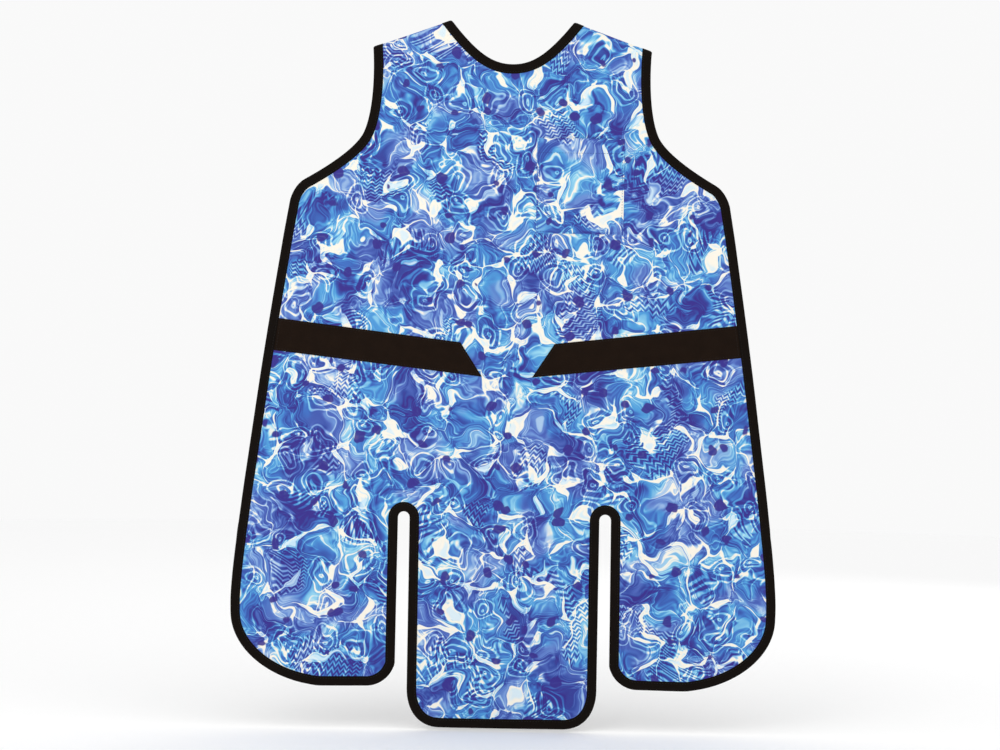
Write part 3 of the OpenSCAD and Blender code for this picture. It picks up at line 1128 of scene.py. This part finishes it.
class ApronShoulders(bpy.types.Operator):
    """Turns the printed cloth and its tape over both shoulders"""

    bl_idname = "apron.shoulders"
    bl_label = "Shoulder Turns"

    def execute(self, context):
        for name, side in SIDES.items():
            self.turn(name, side)
        return {"FINISHED"}

    def turn(self, name, side):
        fold = SHOULDERS[side]
        tip, along, up, radius = fold.tip, fold.along, fold.up, fold.radius
        width = (SHOULDER_TIP - NECK_TIP).length
        # where the cloth's edges cross the fold, in front and behind
        neck_ends = (-0.34 * radius, 1.5 * MM)
        arm_ends = (width + 0.28 * radius, width - 0.8 * MM)
        margin = 1 * MM

        def over(ends, offset, bulge, share):
            """A place in the turn: share goes from 0 at its front to 1 at its back."""
            out = ends[0] + (ends[1] - ends[0]) * share + offset
            angle = math.pi * share
            reach = radius + bulge
            point = tip + along * out - up * radius + up * (reach * math.sin(angle))
            point.y = fold.depth - reach * math.cos(angle) + drape(point.x, point.z)
            return point

        turns, columns = 14, 24

        def cloth_spot(column, row):
            share = row / turns
            across = column / columns
            ends = tuple(a + margin + (b - a - 2 * margin) * across for a, b in zip(neck_ends, arm_ends))
            point = over(ends, 0.0, -0.25 * MM, share)
            return point, (point.x, point.z + radius * math.pi * share, 0)

        bm = strip(columns, turns, cloth_spot)
        if side < 0:
            bmesh.ops.reverse_faces(bm, faces=bm.faces)
        hang(new_piece(bm, f"{name}_shoulder_turn", "printed_cover", (), 0.4 * MM), "panel")
        section = tape_section(TAPE_FACE)[: len(tape_section(TAPE_FACE)) // 2 + 1]
        lean = along.dot(Vector((0.78 * side, 0, -0.62)))
        for edge, ends, sign in (("neck", neck_ends, 1), ("arm", arm_ends, -1)):

            def tape_spot(column, row, ends=ends, sign=sign):
                inset, depth = section[column]
                share = row / turns
                point = over(ends, sign * inset / lean, -depth - CLOTH_FACE, share)
                return point, (math.pi * radius * share, inset, 0)

            bm = strip(len(section) - 1, turns, tape_spot)
            if sign == side:
                bmesh.ops.reverse_faces(bm, faces=bm.faces)
            piece = new_piece(bm, f"{name}_{edge}_tape_turn", "binding_tape", (), TAPE_CLOTH)
            hang(piece, "panel")


class ApronFront(bpy.types.Operator):
    """Makes the chest pocket and the two loop strips on the front"""

    bl_idname = "apron.front"
    bl_label = "Pocket and Loop Strips"

    def execute(self, context):
        self.pocket()
        for name in SIDES:
            self.loop_strip(name)
        return {"FINISHED"}

    def pocket(self):
        low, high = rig.box("pocket_panel")
        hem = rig.box("pocket_hem")[0]
        cloth = chosen("apron_cloth")
        opening = 0.07

        def pouch(x, z):
            across = math.sin(math.pi * min(1.0, max(0.0, (x - low.x) / (high.x - low.x))))
            return cloth.pouch * across * smooth(z, high.z - opening, high.z)

        for name, node, level, thickness in (
            ("chest_pocket", "pocket_panel", low.y, 0.35 * MM),
            ("pocket_mouth_hem", "pocket_hem", hem.y + 0.05 * MM, 0.28 * MM),
        ):
            bm = flat_layer([node])
            grid_cuts(bm, FRONT_GRID)
            flat, area = flat_size(bm)
            settle(bm, level, POCKET_CUT)
            for vert in bm.verts:
                vert.co.y -= pouch(vert.co.x, vert.co.z)
            piece = new_piece(bm, name, "printed_cover", [node], thickness)
            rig.sheet(hang(piece, "panel"), flat=flat, held="stretched", area=area)
        inset = 2.5 * MM
        left, right, bottom = low.x + inset, high.x - inset, low.z + inset
        sides = [(left, high.z), (left, bottom), (right, bottom), (right, high.z)]
        mouth = [(left, hem.z), (right, hem.z)]
        rows = []
        steps = 20
        for spots in (sides, mouth):
            line = []
            for (x0, z0), (x1, z1) in zip(spots, spots[1:]):
                for i in range(steps + 1):
                    x, z = x0 + (x1 - x0) * i / steps, z0 + (z1 - z0) * i / steps
                    line.append(Vector((x, low.y - 0.05 * MM + drape(x, z) - pouch(x, z), z)))
            rows.append(line)
        sew("pocket_stitches", "blue_thread", rows)

    def loop_strip(self, name):
        node = f"{name}_loop_strip"
        low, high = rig.box(node)
        bm = flat_layer([node])
        spots = outline(bm)
        grid_cuts(bm, FRONT_GRID)
        flat, area = flat_size(bm, slope_of(spots))
        settle(bm, low.y + 0.1 * MM, slope=slope_of(spots))
        piece = new_piece(bm, f"{name}_loop_tape", "loop_strip", [node], 0.8 * MM, 0.25 * MM)
        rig.sheet(hang(piece, "panel"), flat=flat, held="stretched", area=area)
        seam = line_inside(spots, STRIP_SEAM, high.y - 0.92 * MM)
        sew(f"{name}_loop_stitches", "black_thread", [seam])


class ApronStraps(bpy.types.Operator):
    """Makes the two padded back straps and the patch that joins them"""

    bl_idname = "apron.straps"
    bl_label = "Back Straps"

    def execute(self, context):
        for name, side in SIDES.items():
            self.strap(name, side)
        self.patch()
        return {"FINISHED"}

    def follow(self, piece, side):
        """Bends a strap from the shoulder fold into the harness."""
        fold = SHOULDERS[side]
        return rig.blend(piece, "panel", "harness", fold.foot, fold.foot - fold.up * STRAP_BEND)

    def strap(self, name, side):
        cut_from = (STRAP_CUT[0] * side, STRAP_CUT[1])
        for title, part, finish in (
            ("strap_cloth", "cover", "printed_cover"),
            ("strap_foam_pad", "padding", "strap_foam"),
            ("strap_lining_cloth", "lining", "inside_lining"),
        ):
            node = f"{name}_strap_{part}"
            bm = flat_layer([node], UNDER_TAPE)
            self.trim(bm, side)
            slope = slope_of(outline(bm))
            grid_cuts(bm, chosen("apron_cloth").strap_grid)
            flat, area = flat_size(bm, slope)
            level, thickness = depth_of(node, STRAP_FILL)
            settle(bm, level, cut_from)
            piece = self.follow(new_piece(bm, f"{name}_{title}", finish, [node], thickness), side)
            if part == "padding":
                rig.padded(piece, fill=0.4)
            else:
                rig.sheet(piece, flat=flat, held="hung", area=area)
        self.edges(name, side)

    def trim(self, bm, side):
        cut(bm, SHOULDERS[side].foot, SHOULDERS[side].up, clear=True)

    def edges(self, name, side):
        """The tape on both long edges and over the hip end, with its stitching."""
        low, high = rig.box(f"{name}_strap_binding")
        middle, half = (low.y + high.y) / 2, (high.y - low.y) / 2
        spots = outline_of([f"{name}_strap_cover"])
        neck, arm = (Vector((p.x * side, 0, p.z)) for p in (NECK_TIP, SHOULDER_TIP))
        hip, way = (Vector((-side * v.x, 0, v.z)) for v in (HIP, HIP_WAY))
        out = right_of(way) * -side

        def hip_corner(end):
            """The corner at one end of the hip seam: the farthest one that way, of those near the seam."""
            return max(spots, key=lambda p: (p - hip).dot(end) - 9 * abs((p - hip).dot(out)))

        top, bottom = hip_corner(way), hip_corner(-way)
        joined = bmesh.new()
        rows = []
        walls = []
        for ends, depth in (((neck, top), half), ((arm, bottom), half), ((top, bottom), half + 0.2 * MM)):
            runs = run_between(spots, *ends), run_between(spots, *reversed(ends))
            line = min(runs, key=lambda run: sum((b - a).length for a, b in zip(run, run[1:])))
            line = rounded(line, chosen("apron_tape").step)
            if depth == half:
                nearest = 0 if (line[0] - hip).length < (line[-1] - hip).length else -1
                walls.append((line[nearest], -inward_ways(line)[nearest]))
                tape = tape_strip(extended(line, OVERRUN), depth, middle)
                cut(tape, hip, out, clear=True)
            else:
                tape = tape_strip(line, depth, middle)
                for corner, beyond in walls:
                    cut(tape, corner, beyond, clear=True)
            rows += tape_stitch_rows(line, depth, middle)
            mesh = mesh_of(tape, "run")
            joined.from_mesh(mesh)
            bpy.data.meshes.remove(mesh)
        self.trim(joined, side)
        stands_for = [f"{name}_strap_binding"]
        piece = new_piece(joined, f"{name}_strap_tape", "binding_tape", stands_for, TAPE_CLOTH)
        self.follow(piece, side)

        def home(spot):
            inside = (Vector((spot.x, 0, spot.z)) - hip).dot(out) < 0
            return "harness" if inside and SHOULDERS[side].below(spot) else None

        for thread in stitches(rows, home).values():
            self.follow(new_piece(thread, f"{name}_strap_stitches", "black_thread"), side)

    def patch(self):
        bm = flat_layer(["strap_cross_patch"])
        spots = outline(bm)
        grid_cuts(bm, BACK_GRID)
        level, thickness = depth_of("strap_cross_patch", PATCH_FILL)
        settle(bm, level)
        piece = new_piece(bm, "strap_join_patch", "binding_tape", ["strap_cross_patch"], thickness)
        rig.ride(piece, "harness")
        # two rings of stitching go through both straps and the patch between them
        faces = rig.box("left_strap_cover")[1].y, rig.box("right_strap_lining")[0].y
        rows = [line_inside(spots, inset, depth) for inset in (5 * MM, 9 * MM) for depth in faces]
        sew("strap_join_stitches", "blue_thread", rows, lambda spot: "harness")


class ApronBelts(bpy.types.Operator):
    """Makes the two belt ends with their hook patches and hip folds"""

    bl_idname = "apron.belts"
    bl_label = "Belt Ends"

    def execute(self, context):
        for name in SIDES:
            body = f"{name}_belt"
            for title, part, finish, bevel in (
                ("belt_tape", "web", "belt_webbing", 0.5 * MM),
                ("hook_strip", "hook", "hook_patch", 0.2 * MM),
            ):
                node = f"{name}_belt_{part}"
                bm = flat_layer([node])
                spots = outline(bm)
                grid_cuts(bm, BACK_GRID)
                flat, area = flat_size(bm, slope_of(spots))
                level, thickness = depth_of(node, BELT_FILL)
                settle(bm, level, slope=slope_of(spots))
                piece = new_piece(bm, f"{name}_{title}", finish, [node], thickness, bevel)
                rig.sheet(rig.ride(piece, body), flat=flat, held="folded", area=area)
            seam = line_inside(spots, STRIP_SEAM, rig.box(node)[1].y)
            sew(f"{name}_hook_stitches", "black_thread", [seam], lambda spot: body)
            self.hip_fold(name, SIDES[name])
        return {"FINISHED"}

    def hip_fold(self, name, side):
        """The webbing's turn from the hip end of a strap back into the belt."""
        web = f"{name}_belt_web"
        low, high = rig.box(web)
        hip, way = (Vector((side * v.x, 0, v.z)) for v in (HIP, HIP_WAY))
        if way.z < 0:
            way.negate()
        out = right_of(way) * side
        crease = JOINTS[f"{name}_belt_open"]["pos_m"][1]
        radius = (low.y + high.y) / 2 - crease
        edge = [v.co for v in frame["nodes"][web].data.vertices if abs((v.co - hip).dot(out)) < 1.5 * MM]
        tops = [(v - hip).dot(way) for v in edge]
        turns, columns = 10, 6

        def spot(column, row):
            along = min(tops) + (max(tops) - min(tops)) * column / columns
            angle = math.pi * row / turns
            point = hip + way * along + out * (radius * math.sin(angle) - 0.4 * MM)
            point.y = crease - radius * math.cos(angle) + drape(point.x, point.z)
            return point, (along, radius * angle, 0)

        bm = strip(columns, turns, spot)
        if side > 0:
            bmesh.ops.reverse_faces(bm, faces=bm.faces)
        piece = new_piece(bm, f"{name}_hip_fold", "belt_webbing", (), 0.8 * MM)
        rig.blend(piece, "harness", f"{name}_belt", (0, crease - radius, 0), (0, crease + radius, 0))


class ApronStageSet(bpy.types.Operator):
    """Sets the floor, the light and the camera"""

    bl_idname = "apron.stage"
    bl_label = "Stage"

    def execute(self, context):
        stage = chosen("apron_stage")
        scene = context.scene
        scene.view_settings.view_transform = "Standard"
        world = bpy.data.worlds.new("white_room")
        world.use_nodes = True
        sky = world.node_tree.nodes["Background"].inputs
        sky["Color"].default_value = (1, 1, 1, 1)
        sky["Strength"].default_value = stage.daylight
        scene.world = world
        bm = bmesh.new()
        ground = Matrix.Translation((0, 0, CAD_BOX[0].z - 4 * MM))
        bmesh.ops.create_circle(bm, cap_ends=True, segments=96, radius=stage.floor, matrix=ground)
        floor = new_object("floor", mesh_of(bm, "floor"))
        shader = Shader("floor_paint", rough=0.9, specular=0.1)
        speckle = shader.noise(shader.node("ShaderNodeTexCoord", out="Object"), 40.0, 3.0)
        paint = shader.mix(speckle, (0.985, 0.985, 0.985), (0.995, 0.995, 0.995))
        floor.data.materials.append(shader.finish(paint))
        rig.stage(floor)
        self.lamp("front_lamp", Vector((-1.1, -2.2, 0.5)), stage.lamp, 1.6)
        self.lamp("back_lamp", Vector((1.4, 2.2, 0.4)), stage.lamp * 0.7, 1.8)
        lens = bpy.data.cameras.new("camera")
        lens.lens = 85
        distance = stage.view_width * lens.lens / lens.sensor_width
        camera = new_object("camera", lens)
        camera.location = (stage.view_x, -distance, stage.view_z)
        camera.rotation_euler = (math.pi / 2, stage.roll, 0)
        scene.camera = camera
        return {"FINISHED"}

    @staticmethod
    def lamp(name, spot, power, size):
        light = bpy.data.lights.new(name, "AREA")
        light.shape = "DISK"
        light.energy = power
        light.size = size
        lamp = new_object(name, light)
        lamp.location = spot
        aim = Vector((0, 0, -LENGTH / 2)) - spot
        lamp.rotation_euler = aim.to_track_quat("-Z", "Y").to_euler()


PIECES = (ApronLayers, ApronBinding, ApronShoulders, ApronFront, ApronStraps, ApronBelts, ApronStageSet)


class ApronPanel(bpy.types.Panel):
    """Lists the apron's operators in the sidebar"""

    bl_idname = "VIEW3D_PT_apron"
    bl_label = "Radiation Apron"
    bl_space_type = "VIEW_3D"
    bl_region_type = "UI"
    bl_category = "Apron"

    def draw(self, context):
        for operator in PIECES:
            self.layout.operator(operator.bl_idname)


CLASSES = (*SETTINGS.values(), *PIECES, ApronPanel)


def register():
    for cls in CLASSES:
        bpy.utils.register_class(cls)
    for name, group in SETTINGS.items():
        setattr(bpy.types.Scene, name, PointerProperty(type=group))


def unregister():
    for name in SETTINGS:
        delattr(bpy.types.Scene, name)
    for cls in reversed(CLASSES):
        bpy.utils.unregister_class(cls)


def main():
    register()
    for operator in PIECES:
        group, name = operator.bl_idname.split(".")
        getattr(getattr(bpy.ops, group), name)()
    with open(SIZE_FILE, "w") as file:
        json.dump({"cad": [list(c) for c in CAD_BOX], "visual": [list(c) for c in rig.bounds()]}, file)


if __name__ == "__main__":
    main()
